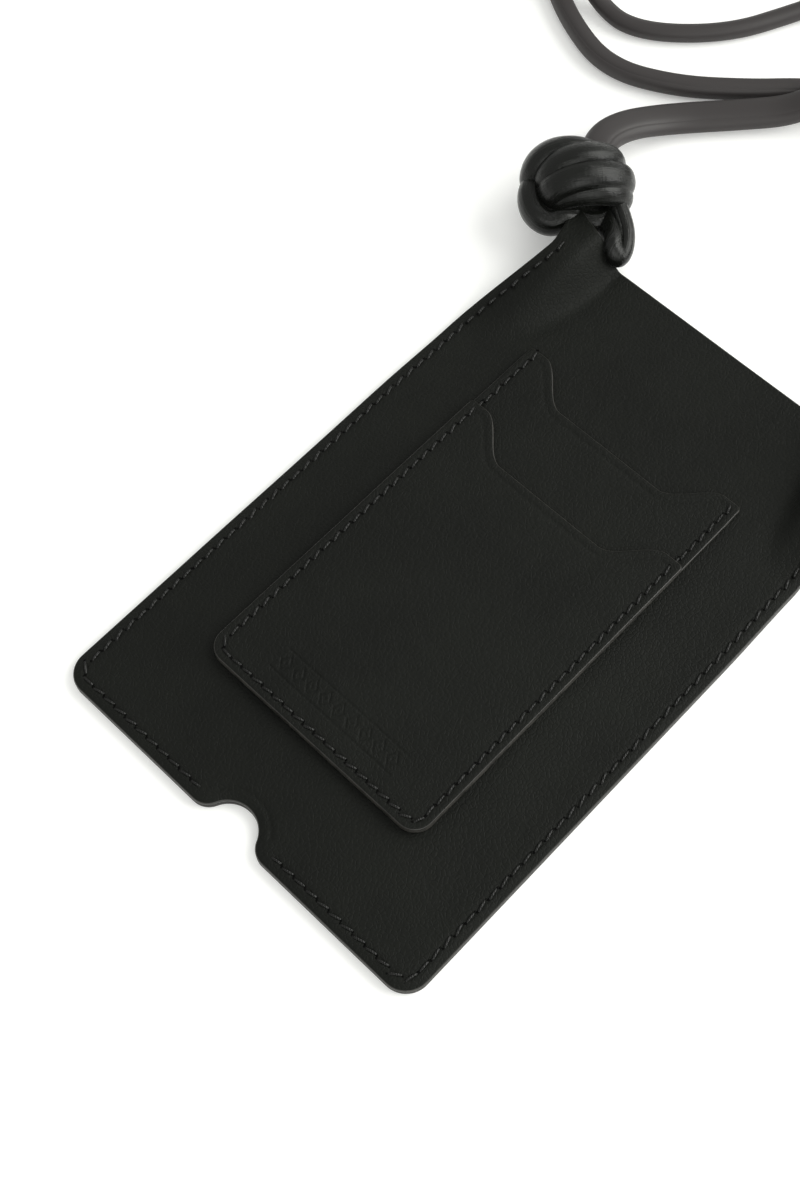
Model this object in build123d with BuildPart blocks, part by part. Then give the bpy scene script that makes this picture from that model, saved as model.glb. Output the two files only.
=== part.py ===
"""Neck pouch wallet: flat leather phone pouch with stacked card pockets and a knotted cord.

Millimetres. The pouch lies on its back: +X across the pouch, +Y towards its open mouth,
+Z out of the front face. The origin is on the surface it lies on, below the pouch's centre.
"""
from build123d import *
import math
import os

os.makedirs("parts", exist_ok=True)

# Pouch outline
WIDTH = 110.0
LENGTH = 170.0
BOTTOM_CORNER_R = 6.2
MOUTH_CORNER_R = 14.0
NOTCH_R = 7.1
NOTCH_CENTRE_Y = -LENGTH / 2 - 0.2
NOTCH_SHOULDER_R = 5.0

# Materials and the room between the two panels
LEATHER = 1.2
LINING = 0.4
PHONE_GAP = 4.4
CARD_GAP = 0.5
THREAD = 0.8
THREAD_PROUD = 0.25
THREAD_GROOVE = 0.25

# The front panel rises from its sewn margin to a flat middle
MARGIN = 5.5
FLAT_HALF_WIDTH = 36.0
FLAT_BOTTOM_Y = -63.5

# Seams
SEAM_INSET = 2.8
SEAM_TOP_Y = LENGTH / 2 - 9.0
SEAM_NOTCH_X = 12.5
SEAM_CORNER_R = 4.0

# Card pockets
POCKET_CENTRE_X = -0.9
POCKET_WIDTH = 66.8
POCKET_BOTTOM_Y = -58.6
POCKET_CORNER_R = 5.0
POCKET_SEAM_INSET = 2.3
LONG_POCKET_TOP_Y = 52.8
SHORT_POCKET_TOP_Y = 31.3
DIP_DEPTH = 9.5
DIP_HALF_WIDTH = 15.5
DIP_SHOULDER_X = 28.5

# Mouth corners, drawn up by the cord
FOLD_X = 32.0
FOLD_Y = 40.0
FOLD_ANGLE = 24.0
HOLE_R = 3.1
LOOP_X = 43.0
LOOP_CENTRE = (LENGTH / 2 - 1.0, 8.7)
LOOP_R = 6.2
LOOP_CORD_R = 2.5

# Knots and cord
CORD_D = 7.5
KNOT_CENTRE = (55.0, 92.9)
KNOT_R = 15.0
KNOT_HEIGHT = 23.0
KNOT_EDGE = 6.0
KNOT_EDGE_R = 4.0
SLOT_CLEARANCE = 0.3

# Put-away coil
COIL_CENTRE = (46.0, 157.0)
COIL_OUTER_TURN_R = 41.25
COIL_INNER_TURN_R = 33.75
COIL_TOP_TURN_R = 37.5
COIL_HEIGHT = 15.0
COIL_ENTRY_HEADING = 30.0
COIL_EXIT_HEADING = 225.0
COIL_ENTRY_RUN = 27.0
COIL_EXIT_RUN = 41.0
TIE_ANGLE = 205.0
TIE_WIDTH = 9.0
TIE_THICK = 0.8

# Heights of the layers
BACK_LINING_Z = LEATHER
FRONT_LINING_Z = BACK_LINING_Z + LINING
FRONT_PANEL_Z = FRONT_LINING_Z + LINING
MARGIN_TOP_Z = FRONT_PANEL_Z + LEATHER
FLAT_TOP_Z = MARGIN_TOP_Z + PHONE_GAP
SHORT_POCKET_Z = FLAT_TOP_Z + LEATHER
POCKET_TOP_Z = SHORT_POCKET_Z + LEATHER

CORD_Z = CORD_D / 2
OVER_Z = 13.0

# The cord's route from the left knot to the coil, up to the coil's straight lead-in
STRAP_ROUTE = [
    (-60.8, 106.3, 11.2),
    (-61.8, 117.5, 8.5),
    (-56.5, 131.0, CORD_Z),
    (-43.2, 145.0, CORD_Z),
    (-32.8, 155.2, 5.0),
    (-26.0, 163.5, OVER_Z),
    (-20.5, 174.0, OVER_Z),
    (-16.0, 187.0, CORD_Z),
    (-21.0, 198.5, CORD_Z),
    (-34.5, 203.0, CORD_Z),
    (-48.5, 196.5, CORD_Z),
    (-54.5, 184.0, CORD_Z),
    (-64.0, 164.5, CORD_Z),
    (-83.0, 148.5, CORD_Z),
    (-97.5, 149.8, CORD_Z),
    (-110.0, 152.3, OVER_Z),
    (-126.0, 151.5, OVER_Z),
    (-142.0, 150.0, CORD_Z),
    (-154.5, 158.0, CORD_Z),
    (-158.5, 172.0, CORD_Z),
    (-152.5, 185.5, CORD_Z),
    (-139.5, 191.0, CORD_Z),
    (-127.0, 185.5, CORD_Z),
    (-121.0, 173.5, CORD_Z),
    (-122.0, 161.0, CORD_Z),
    (-114.5, 149.5, CORD_Z),
    (-98.5, 139.5, CORD_Z),
    (-80.0, 133.8, CORD_Z),
    (-62.0, 141.5, CORD_Z),
    (-46.8, 153.8, CORD_Z),
    (-37.2, 162.8, CORD_Z),
    (-26.5, 169.8, CORD_Z),
    (-16.5, 171.5, CORD_Z),
]


def heading(degrees):
    return Vector(math.cos(math.radians(degrees)), math.sin(math.radians(degrees)))


def on_coil(radius, direction):
    """The point of a clockwise turn where the cord runs in this direction."""
    side = heading(direction + 90)
    return Vector(COIL_CENTRE[0], COIL_CENTRE[1]) + side * radius


# ---------------------------------------------------------------- pouch panels


def outline_sketch():
    """The panels' common outline, with the notch in the bottom edge."""
    with BuildSketch(mode=Mode.PRIVATE) as outline:
        Rectangle(WIDTH, LENGTH)
        fillet(outline.vertices().group_by(Axis.Y)[0], BOTTOM_CORNER_R)
        fillet(outline.vertices().group_by(Axis.Y)[-1], MOUTH_CORNER_R)
        with Locations((0, NOTCH_CENTRE_Y)):
            Circle(NOTCH_R, mode=Mode.SUBTRACT)
        shoulders = [
            v for v in outline.vertices().group_by(Axis.Y)[0] if abs(v.X) < NOTCH_R + 1
        ]
        fillet(shoulders, NOTCH_SHOULDER_R)
    return outline.sketch


OUTLINE = outline_sketch()


def plate(z, thickness):
    """A flat panel with the pouch's outline."""
    with BuildPart(mode=Mode.PRIVATE) as flat:
        with BuildSketch(Plane.XY.offset(z)):
            add(OUTLINE)
        extrude(amount=thickness)
    return flat.part


def rise(z):
    """The solid below the raised middle, from height z up by the phone gap, past the mouth."""
    half_width = WIDTH / 2 - MARGIN
    bottom_y = -LENGTH / 2 + MARGIN
    far_y = LENGTH / 2 + 20
    with BuildPart(mode=Mode.PRIVATE) as middle:
        with BuildSketch(Plane.XY.offset(z)):
            with Locations((0, (bottom_y + far_y) / 2)):
                Rectangle(2 * half_width, far_y - bottom_y)
        with BuildSketch(Plane.XY.offset(z + PHONE_GAP)):
            with Locations((0, (FLAT_BOTTOM_Y + far_y) / 2)):
                Rectangle(2 * FLAT_HALF_WIDTH, far_y - FLAT_BOTTOM_Y)
        loft(ruled=True)
    return middle.part


def raised_sheet(z, thickness):
    """A panel that follows the raised middle, with its sewn margin flat at height z."""
    margin = plate(z, thickness)
    outside = rise(z + thickness)
    inside = rise(z)
    with BuildPart(mode=Mode.PRIVATE) as sheet:
        add(margin)
        add(outside)
        add(inside, mode=Mode.SUBTRACT)
        with BuildSketch(Plane.XY) as trim:
            add(OUTLINE)
        extrude(amount=4 * FLAT_TOP_Z, mode=Mode.INTERSECT)
    return sheet.part


def fold_axis(side):
    """The line on the resting surface about which a mouth corner is drawn up."""
    edge_point = Vector(side * WIDTH / 2, LENGTH / 2 - FOLD_Y)
    mouth_point = Vector(side * (WIDTH / 2 - FOLD_X), LENGTH / 2)
    along = (edge_point - mouth_point) * side
    return Axis(edge_point, along)


def mitre_plane(side, tilt):
    """A plane through the fold line, leaning towards the pouch by tilt degrees."""
    axis = fold_axis(side)
    upright = Plane(axis.position, x_dir=axis.direction, z_dir=(0, 0, 1))
    outward = upright.y_dir
    normal = outward * math.cos(math.radians(tilt)) + Vector(0, 0, 1) * math.sin(
        math.radians(tilt)
    )
    return Plane(axis.position, x_dir=axis.direction, z_dir=normal)


def draw_up_corners(flat, sides=(-1, 1)):
    """The same sheet with its mouth corners folded up along mitred fold lines."""
    corners = []
    for side in sides:
        with BuildPart(mode=Mode.PRIVATE) as corner:
            add(flat)
            split(bisect_by=mitre_plane(side, -FOLD_ANGLE / 2), keep=Keep.TOP)
        corners.append(corner.part.rotate(fold_axis(side), FOLD_ANGLE))
    with BuildPart(mode=Mode.PRIVATE) as folded:
        add(flat)
        for side in sides:
            split(bisect_by=mitre_plane(side, FOLD_ANGLE / 2), keep=Keep.BOTTOM)
        add(corners)
    return folded.part


def loop_ring(side, cord_r):
    """The cord's small loop round the mouth edge at a corner, as a ring."""
    with BuildPart(mode=Mode.PRIVATE) as ring:
        with BuildSketch(Plane.XY.offset(LOOP_CENTRE[1])):
            with Locations((side * LOOP_X, LOOP_CENTRE[0] + LOOP_R)):
                Circle(cord_r)
        pivot = Axis((0, LOOP_CENTRE[0], LOOP_CENTRE[1]), (1, 0, 0))
        revolve(axis=pivot, revolution_arc=360)
    return ring.part


def pierced(flat):
    """The sheet with both corners drawn up and the holes that the loops go through."""
    drawn_up = draw_up_corners(flat)
    holes = [loop_ring(side, HOLE_R) for side in (-1, 1)]
    with BuildPart(mode=Mode.PRIVATE) as sheet:
        add(drawn_up)
        add(holes, mode=Mode.SUBTRACT)
    return sheet.part


# ---------------------------------------------------------------- threads


def seam_thread(side, z, height):
    """One side's seam thread: down the side edge, round the corner and to the notch."""
    x = side * (WIDTH / 2 - SEAM_INSET)
    y = -LENGTH / 2 + SEAM_INSET
    with BuildPart(mode=Mode.PRIVATE) as thread:
        with BuildSketch(Plane.XY.offset(z)):
            with BuildLine() as route:
                FilletPolyline(
                    (x, SEAM_TOP_Y), (x, y), (side * SEAM_NOTCH_X, y), radius=SEAM_CORNER_R
                )
            trace(route.line, line_width=THREAD)
        extrude(amount=height)
    return draw_up_corners(thread.part, (side,))


def pocket_thread(z, height, top_y):
    """The card pockets' seam thread: down one side, along the bottom and up the other."""
    half = POCKET_WIDTH / 2 - POCKET_SEAM_INSET
    left, right = POCKET_CENTRE_X - half, POCKET_CENTRE_X + half
    y = POCKET_BOTTOM_Y + POCKET_SEAM_INSET
    with BuildPart(mode=Mode.PRIVATE) as thread:
        with BuildSketch(Plane.XY.offset(z)):
            with BuildLine() as route:
                FilletPolyline(
                    (left, top_y), (left, y), (right, y), (right, top_y), radius=POCKET_CORNER_R / 2
                )
            trace(route.line, line_width=THREAD)
        extrude(amount=height)
    return thread.part


def upper_pocket_thread(z, height):
    """The two stretches of pocket thread above the short pocket's opening."""
    half = POCKET_WIDTH / 2 - POCKET_SEAM_INSET
    low, high = SHORT_POCKET_TOP_Y + 0.4, LONG_POCKET_TOP_Y - 1.5
    with BuildPart(mode=Mode.PRIVATE) as thread:
        with BuildSketch(Plane.XY.offset(z)):
            with Locations(
                (POCKET_CENTRE_X - half, (low + high) / 2),
                (POCKET_CENTRE_X + half, (low + high) / 2),
            ):
                Rectangle(THREAD, high - low)
        extrude(amount=height)
    return thread.part


THREAD_HEIGHT = THREAD_GROOVE + THREAD_PROUD
LEFT_TOP = seam_thread(-1, MARGIN_TOP_Z - THREAD_GROOVE, THREAD_HEIGHT)
RIGHT_TOP = seam_thread(1, MARGIN_TOP_Z - THREAD_GROOVE, THREAD_HEIGHT)
LEFT_UNDER = seam_thread(-1, 0, THREAD_GROOVE)
RIGHT_UNDER = seam_thread(1, 0, THREAD_GROOVE)
POCKET_UNDER = pocket_thread(FLAT_TOP_Z - LEATHER, THREAD_GROOVE, LONG_POCKET_TOP_Y - 1.5)
POCKET_TOP_LOW = pocket_thread(POCKET_TOP_Z - THREAD_GROOVE, THREAD_HEIGHT, SHORT_POCKET_TOP_Y - 1.0)
POCKET_TOP_HIGH = upper_pocket_thread(SHORT_POCKET_Z - THREAD_GROOVE, THREAD_HEIGHT)

for name, solid in (
    ("left_seam_thread", LEFT_TOP),
    ("right_seam_thread", RIGHT_TOP),
    ("left_bobbin_thread", LEFT_UNDER),
    ("right_bobbin_thread", RIGHT_UNDER),
    ("pocket_bobbin_thread", POCKET_UNDER),
):
    with BuildPart() as thread:
        add(solid)
    thread.part.label = name
    export_step(thread.part, f"parts/{name}.step")

with BuildPart() as pocket_seam_thread:
    add(POCKET_TOP_LOW)
    add(POCKET_TOP_HIGH)
pocket_seam_thread.part.label = "pocket_seam_thread"
export_step(pocket_seam_thread.part, "parts/pocket_seam_thread.step")

# ---------------------------------------------------------------- panels and linings

BACK = pierced(plate(0, LEATHER))
BACK_LINING = pierced(plate(BACK_LINING_Z, LINING))
FRONT_LINING = pierced(raised_sheet(FRONT_LINING_Z, LINING))
FRONT = pierced(raised_sheet(FRONT_PANEL_Z, LEATHER))

with BuildPart() as back_panel:
    add(BACK)
    add([LEFT_UNDER, RIGHT_UNDER], mode=Mode.SUBTRACT)
back_panel.part.label = "back_panel"
export_step(back_panel.part, "parts/back_panel.step")

with BuildPart() as back_lining:
    add(BACK_LINING)
back_lining.part.label = "back_lining"
export_step(back_lining.part, "parts/back_lining.step")

with BuildPart() as front_lining:
    add(FRONT_LINING)
front_lining.part.label = "front_lining"
export_step(front_lining.part, "parts/front_lining.step")

with BuildPart() as front_panel:
    add(FRONT)
    add([LEFT_TOP, RIGHT_TOP, POCKET_UNDER], mode=Mode.SUBTRACT)
front_panel.part.label = "front_panel"
export_step(front_panel.part, "parts/front_panel.step")


# ---------------------------------------------------------------- card pockets


def card_pocket(z, top_y):
    """A pocket layer with the dipped opening edge and room for a card below it."""
    half = POCKET_WIDTH / 2
    dip_y = top_y - DIP_DEPTH
    with BuildPart(mode=Mode.PRIVATE) as pocket:
        with BuildSketch(Plane.XY.offset(z)) as face:
            with BuildLine():
                Line((0, POCKET_BOTTOM_Y), (half, POCKET_BOTTOM_Y))
                Line((half, POCKET_BOTTOM_Y), (half, top_y))
                Line((half, top_y), (DIP_SHOULDER_X, top_y))
                Spline(
                    (DIP_SHOULDER_X, top_y),
                    (DIP_HALF_WIDTH, dip_y),
                    tangents=[(-1, 0), (-1, 0)],
                )
                Line((DIP_HALF_WIDTH, dip_y), (0, dip_y))
                Line((0, dip_y), (0, POCKET_BOTTOM_Y))
            make_face()
            mirror(about=Plane.YZ)
            fillet(face.vertices().group_by(Axis.Y)[0].sort_by(Axis.X)[0], POCKET_CORNER_R)
            fillet(face.vertices().group_by(Axis.Y)[0].sort_by(Axis.X)[-1], POCKET_CORNER_R)
        extrude(amount=LEATHER)
        card_width = POCKET_WIDTH - 4 * POCKET_SEAM_INSET
        with BuildSketch(Plane.XY.offset(z)):
            with Locations((0, POCKET_BOTTOM_Y + 2 * POCKET_SEAM_INSET)):
                Rectangle(card_width, LENGTH, align=(Align.CENTER, Align.MIN))
        extrude(amount=CARD_GAP, mode=Mode.SUBTRACT)
    return pocket.part.moved(Location((POCKET_CENTRE_X, 0, 0)))


LONG_POCKET = card_pocket(FLAT_TOP_Z, LONG_POCKET_TOP_Y)
SHORT_POCKET = card_pocket(SHORT_POCKET_Z, SHORT_POCKET_TOP_Y)

with BuildPart() as card_pocket_long:
    add(LONG_POCKET)
    add(POCKET_TOP_HIGH, mode=Mode.SUBTRACT)
card_pocket_long.part.label = "card_pocket_long"
export_step(card_pocket_long.part, "parts/card_pocket_long.step")

with BuildPart() as card_pocket_short:
    add(SHORT_POCKET)
    add(POCKET_TOP_LOW, mode=Mode.SUBTRACT)
card_pocket_short.part.label = "card_pocket_short"
export_step(card_pocket_short.part, "parts/card_pocket_short.step")


# ---------------------------------------------------------------- cord


def route_radii(points):
    """Each corner's arc radius: as large as its two runs allow."""
    radii = []
    for before, here, after in zip(points, points[1:], points[2:]):
        run_in = Vector(*here) - Vector(*before)
        run_out = Vector(*after) - Vector(*here)
        half_turn = math.radians(run_in.get_angle(run_out)) / 2
        radii.append(0.45 * min(run_in.length, run_out.length) / math.tan(half_turn))
    return radii


def cord_tube(points):
    """A plain round tube along straight runs joined by tangent arcs."""
    with BuildPart(mode=Mode.PRIVATE) as tube:
        with BuildLine() as route:
            FilletPolyline(*points, radius=route_radii(points))
        with BuildSketch(Plane(origin=route.wires()[0] @ 0, z_dir=route.wires()[0] % 0)):
            Circle(CORD_D / 2)
        sweep()
    return tube.part, route.wires()[0].length


entry = on_coil(COIL_OUTER_TURN_R, COIL_ENTRY_HEADING)
entry_start = entry - heading(COIL_ENTRY_HEADING) * COIL_ENTRY_RUN
last_turn = entry_start - heading(COIL_ENTRY_HEADING) * 10
strap_points = STRAP_ROUTE + [
    (last_turn.X, last_turn.Y, CORD_Z),
    (entry_start.X, entry_start.Y, CORD_Z),
]
STRAP, strap_length = cord_tube(strap_points)

with BuildPart() as strap:
    add(STRAP)
strap.part.label = "strap"
export_step(strap.part, "parts/strap.step")

exit_z = CORD_D * 1.5
exit_point = on_coil(COIL_TOP_TURN_R, COIL_EXIT_HEADING)


def straight_cord(start, direction, length, z):
    """A straight round length of cord at height z."""
    base = Plane(origin=(start.X, start.Y, z), z_dir=heading(direction))
    with BuildPart(mode=Mode.PRIVATE) as run:
        with BuildSketch(base):
            Circle(CORD_D / 2)
        extrude(amount=length)
    return run.part


LEAD_OUT = straight_cord(exit_point, COIL_EXIT_HEADING, COIL_EXIT_RUN, exit_z)


def coil_ring():
    """The outer shape of two turns side by side with a part turn on top."""
    low = COIL_INNER_TURN_R - CORD_D / 2
    high = COIL_OUTER_TURN_R + CORD_D / 2
    with BuildPart(mode=Mode.PRIVATE) as ring:
        with BuildSketch(Plane.XZ):
            with BuildLine():
                Polyline(
                    (low, 0),
                    (high, 0),
                    (high, CORD_D),
                    (COIL_TOP_TURN_R + CORD_D / 2, COIL_HEIGHT),
                    (COIL_TOP_TURN_R - CORD_D / 2, COIL_HEIGHT),
                    (low, CORD_D),
                    close=True,
                )
            make_face()
        revolve(axis=Axis.Z)
    return ring.part.moved(Location((*COIL_CENTRE, 0)))


def tie_band():
    """A flat band round the coil's section, at one place on the ring."""
    low = COIL_INNER_TURN_R - CORD_D / 2
    high = COIL_OUTER_TURN_R + CORD_D / 2
    place = Plane.XY.rotated((0, 0, TIE_ANGLE)).offset(0)
    with BuildPart(mode=Mode.PRIVATE) as band:
        Box(
            high - low + 2 * TIE_THICK,
            TIE_WIDTH,
            COIL_HEIGHT + TIE_THICK,
            align=(Align.CENTER, Align.CENTER, Align.MIN),
        )
        with Locations((0, 0, TIE_THICK)):
            Box(
                high - low,
                TIE_WIDTH,
                COIL_HEIGHT - TIE_THICK,
                align=(Align.CENTER, Align.CENTER, Align.MIN),
                mode=Mode.SUBTRACT,
            )
    centre = Vector(*COIL_CENTRE) + heading(TIE_ANGLE) * (low + high) / 2
    return band.part.moved(Location((centre.X, centre.Y, 0), (0, 0, TIE_ANGLE)))


TIE = tie_band()

RING = coil_ring()
LEAD_IN = straight_cord(entry_start, COIL_ENTRY_HEADING, COIL_ENTRY_RUN, CORD_Z)

with BuildPart() as strap_coil:
    add([RING, LEAD_IN, LEAD_OUT])
    add(TIE, mode=Mode.SUBTRACT)
strap_coil.part.label = "strap_coil"
export_step(strap_coil.part, "parts/strap_coil.step")

with BuildPart() as coil_tie:
    add(TIE)
coil_tie.part.label = "coil_tie"
export_step(coil_tie.part, "parts/coil_tie.step")

# ---------------------------------------------------------------- loops and knots


def leather_slot(side):
    """The drawn-up corner's thickness with a little room, as cut out of the knot."""
    thickness = MARGIN_TOP_Z + THREAD_PROUD
    with BuildPart(mode=Mode.PRIVATE) as slab:
        with BuildSketch(Plane.XY.offset(-SLOT_CLEARANCE)):
            add(OUTLINE)
            offset(amount=SLOT_CLEARANCE)
        extrude(amount=thickness + 2 * SLOT_CLEARANCE)
        split(bisect_by=mitre_plane(side, 0), keep=Keep.TOP)
    return slab.part.rotate(fold_axis(side), FOLD_ANGLE)


def knot(side, cord_end):
    """The knot's outer shape, gripping the corner, the loop and the cord."""
    with BuildPart(mode=Mode.PRIVATE) as body:
        Cylinder(KNOT_R, KNOT_HEIGHT, align=(Align.CENTER, Align.CENTER, Align.MIN))
        chamfer(body.edges().filter_by(GeomType.CIRCLE), KNOT_EDGE)
        fillet(body.edges().filter_by(GeomType.CIRCLE), KNOT_EDGE_R)
    pebble = body.part.moved(Location((side * KNOT_CENTRE[0], KNOT_CENTRE[1], 0)))
    gripped = [leather_slot(side), loop_ring(side, LOOP_CORD_R), cord_end]
    with BuildPart(mode=Mode.PRIVATE) as whole:
        add(pebble)
        for piece in gripped:
            add(piece, mode=Mode.SUBTRACT)
    return whole.part


first_run = Vector(*STRAP_ROUTE[1]) - Vector(*STRAP_ROUTE[0])
with BuildPart() as strap_end:
    with BuildSketch(Plane(origin=STRAP_ROUTE[0], z_dir=first_run)):
        Circle(CORD_D / 2)
    extrude(amount=first_run.length / 2)

for name, side, cord_end in (("left", -1, strap_end.part), ("right", 1, LEAD_OUT)):
    ring = loop_ring(side, LOOP_CORD_R)
    gripping_knot = knot(side, cord_end)
    with BuildPart() as corner_loop:
        add(ring)
    corner_loop.part.label = f"{name}_loop"
    export_step(corner_loop.part, f"parts/{name}_loop.step")
    with BuildPart() as corner_knot:
        add(gripping_knot)
    corner_knot.part.label = f"{name}_knot"
    export_step(corner_knot.part, f"parts/{name}_knot.step")

# ---------------------------------------------------------------- figures for checking

section = math.pi * (CORD_D / 2) ** 2
print("radii", [round(r, 1) for r in route_radii(strap_points)])
print("strap length", round(strap_length, 1), "volume / (section x length)")
print(round(strap.part.volume / (section * strap_length), 4))
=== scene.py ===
"""Neck pouch wallet: the looks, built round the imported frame.

A flat black leather phone pouch lies on its back on a pale table, with two card pockets sewn
on its front and a soft rolled-leather neck cord knotted to its mouth corners.
Lengths in the shaping functions are millimetres, and meshes are written in metres.
"""
import math

import bpy
from bpy.props import (
    FloatProperty, FloatVectorProperty, IntProperty, PointerProperty,
)
from mathutils import Matrix, Vector, geometry, noise


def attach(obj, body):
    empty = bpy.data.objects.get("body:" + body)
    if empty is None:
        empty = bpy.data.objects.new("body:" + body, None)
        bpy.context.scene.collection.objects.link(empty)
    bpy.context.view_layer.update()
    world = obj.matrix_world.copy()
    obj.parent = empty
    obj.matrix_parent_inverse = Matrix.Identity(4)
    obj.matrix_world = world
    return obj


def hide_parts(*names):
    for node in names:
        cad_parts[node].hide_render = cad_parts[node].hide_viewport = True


bl_info = {
    "name": "Neck Pouch Wallet",
    "version": (1, 0, 0),
    "blender": (4, 5, 0),
    "location": "View3D > Sidebar > Pouch",
    "description": "Leather neck pouch wallet with card pockets and a knotted neck cord",
    "category": "Add Mesh",
}

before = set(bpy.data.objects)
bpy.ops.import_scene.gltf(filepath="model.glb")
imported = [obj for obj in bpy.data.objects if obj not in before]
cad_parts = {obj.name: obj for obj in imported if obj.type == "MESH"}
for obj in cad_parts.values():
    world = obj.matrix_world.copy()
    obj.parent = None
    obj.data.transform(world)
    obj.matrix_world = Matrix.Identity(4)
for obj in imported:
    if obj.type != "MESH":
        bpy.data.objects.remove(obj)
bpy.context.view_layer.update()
BODY = "root"
MM = 0.001

# Pouch, in millimetres
HALF_WIDTH = 55.0
HALF_LENGTH = 85.0
BOTTOM_CORNER_R = 6.2
MOUTH_CORNER_R = 3.0
NOTCH_R = 7.1
NOTCH_DROP = 0.2
SHOULDER_R = 5.0
BACK_Z = 0.0
BACK_LINING_Z = 1.2
FRONT_LINING_Z = 1.6
FRONT_Z = 2.0
LINING = 0.4
LINING_INSET = 2.2
PHONE_GAP = 0.9
SEAM_LINE = 2.8
FLAT_HALF_WIDTH = 30.0
FLAT_BOTTOM_Y = -60.0
EDGE_PINCH = 0.45
EDGE_PINCH_REACH = 2.6
SEAM_START_Y = 76.0
DENT_START_Y = 76.5
SEAM_NOTCH_X = 12.8
DENT_NOTCH_X = 12.0
DENT_HALF_WIDTH = 0.55

# How the cord draws the mouth's corners up, inwards and into the knots, in millimetres
CORNER_LIFT = 10.0
LIFTED_X = 48.0
LIFTED_Y = 80.0
LIFT_REACH_LEFT = 14.0
LIFT_REACH_RIGHT = 9.0
LIFT_REACH_DOWN = 35.0
GATHER_FROM_X = 24.0
GATHER_FROM_Y = 20.0
GATHER_REACH_Y = 25.0
TONGUE = 10.0
TONGUE_INTO_KNOT = Vector((-1.2, 1.1, -2.0))
KNOT_AT = (-55.4, 92.9, 11.5)

# Card pockets, in millimetres
POCKET_X = -0.9
POCKET_HALF_WIDTH = 33.4
POCKET_BOTTOM_Y = -58.6
POCKET_CORNER_R = 5.0
POCKET_SEAM_INSET = 2.3
POCKET_SEAM_START = 1.6
POCKET_DENT = 0.16
POCKET_DENT_HALF_WIDTH = 0.5
POCKET_BULGE = 0.22
POCKET_BULGE_REACH = 12.0
POCKET_TIP_R = 1.2
LONG_TOP_Y = 52.8
SHORT_TOP_Y = 31.3
DIP_DEPTH = 9.5
DIP_HALF_WIDTH = 15.5
DIP_SHOULDER_X = 28.5
LONG_Z = 4.1
SHORT_Z = 5.3
STAMP_Y = -48.8
STAMP_DEPTH = 0.2
STAMP_PITCH = 4.2
STAMP_COUNT = 9
STAMP_HALF = STAMP_PITCH * STAMP_COUNT / 2
STAMP_RULE_Y = 3.0
STAMP_MESH = 0.26

# Neck cord: the route's points in millimetres
REST_Z = 3.2
THIN_Z = 2.3
OVER_Z = 12.0
ROUTE = [
    (-55.5, 99.0, 12.5),
    (-60.8, 106.3, 11.2),
    (-61.8, 117.5, 8.0),
    (-56.5, 131.0, REST_Z),
    (-43.2, 145.0, REST_Z),
    (-32.8, 155.2, 4.4),
    (-26.0, 163.5, OVER_Z),
    (-20.5, 174.0, OVER_Z),
    (-16.0, 187.0, REST_Z),
    (-21.0, 198.5, REST_Z),
    (-34.5, 203.0, REST_Z),
    (-48.5, 196.5, REST_Z),
    (-54.5, 184.0, THIN_Z),
    (-64.0, 164.5, THIN_Z),
    (-83.0, 148.5, THIN_Z),
    (-97.5, 149.8, THIN_Z),
    (-110.0, 152.3, OVER_Z),
    (-126.0, 151.5, OVER_Z),
    (-142.0, 150.0, REST_Z),
    (-154.5, 158.0, REST_Z),
    (-158.5, 172.0, REST_Z),
    (-152.5, 185.5, REST_Z),
    (-139.5, 191.0, REST_Z),
    (-127.0, 185.5, REST_Z),
    (-121.0, 173.5, REST_Z),
    (-122.0, 161.0, REST_Z),
    (-114.5, 149.5, THIN_Z + 0.3),
    (-98.5, 139.5, THIN_Z + 0.3),
    (-80.0, 133.8, THIN_Z + 0.3),
    (-62.0, 141.5, THIN_Z + 0.3),
    (-46.8, 153.8, THIN_Z + 0.3),
    (-37.2, 162.8, THIN_Z + 0.3),
    (-26.5, 169.8, REST_Z),
    (-16.5, 171.5, REST_Z),
    (-6.6, 174.2, REST_Z),
    (2.0, 179.2, REST_Z),
]
TO_RIGHT_KNOT = [(57.5, 115.5, 10.9), (43.5, 101.5, 11.25)]

# The coil beside the pouch, in millimetres and degrees turned from its start
COIL_CENTRE = (46.0, 157.0)
COIL_ENTRY_ANGLE = 120.0
COIL_TURN = 885.0
COIL_STEP = 24.0
OUTER_TURN_R = 41.25
INNER_TURN_R = 33.75
TOP_TURN_R = 37.5
TO_INNER_TURN = (320, 80)
TO_TOP_TURN = (680, 60)
COIL_TOP_Z = 9.6
COIL_EXIT_Z = 10.8
TIE_ANGLE = 205.0

# The cord's section: distance along it, width and height, in millimetres
CORD_SECTIONS = [
    (0, 8.4, 5.8),
    (30, 9.6, 5.0),
    (75, 9.0, 5.2),
    (110, 7.0, 5.8),
    (150, 4.9, 4.6),
    (225, 4.7, 4.5),
    (270, 6.4, 5.8),
    (345, 6.2, 5.8),
    (375, 5.6, 5.0),
    (450, 5.7, 5.2),
    (500, 7.0, 6.4),
    (2000, 7.4, 6.8),
]


def smooth(t):
    """A smooth step from 0 to 1."""
    t = min(1.0, max(0.0, t))
    return t * t * (3 - 2 * t)


def mix(a, b, t):
    """The value a share t of the way from a to b."""
    return a + (b - a) * t


# ---------------- outlines


def arc(cx, cy, r, start, end, step):
    """Points along an arc, both ends included, angles in degrees."""
    count = max(2, math.ceil(abs(math.radians(end - start)) * r / step))
    angles = [math.radians(mix(start, end, k / count)) for k in range(count + 1)]
    return [(cx + r * math.cos(a), cy + r * math.sin(a)) for a in angles]


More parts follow.
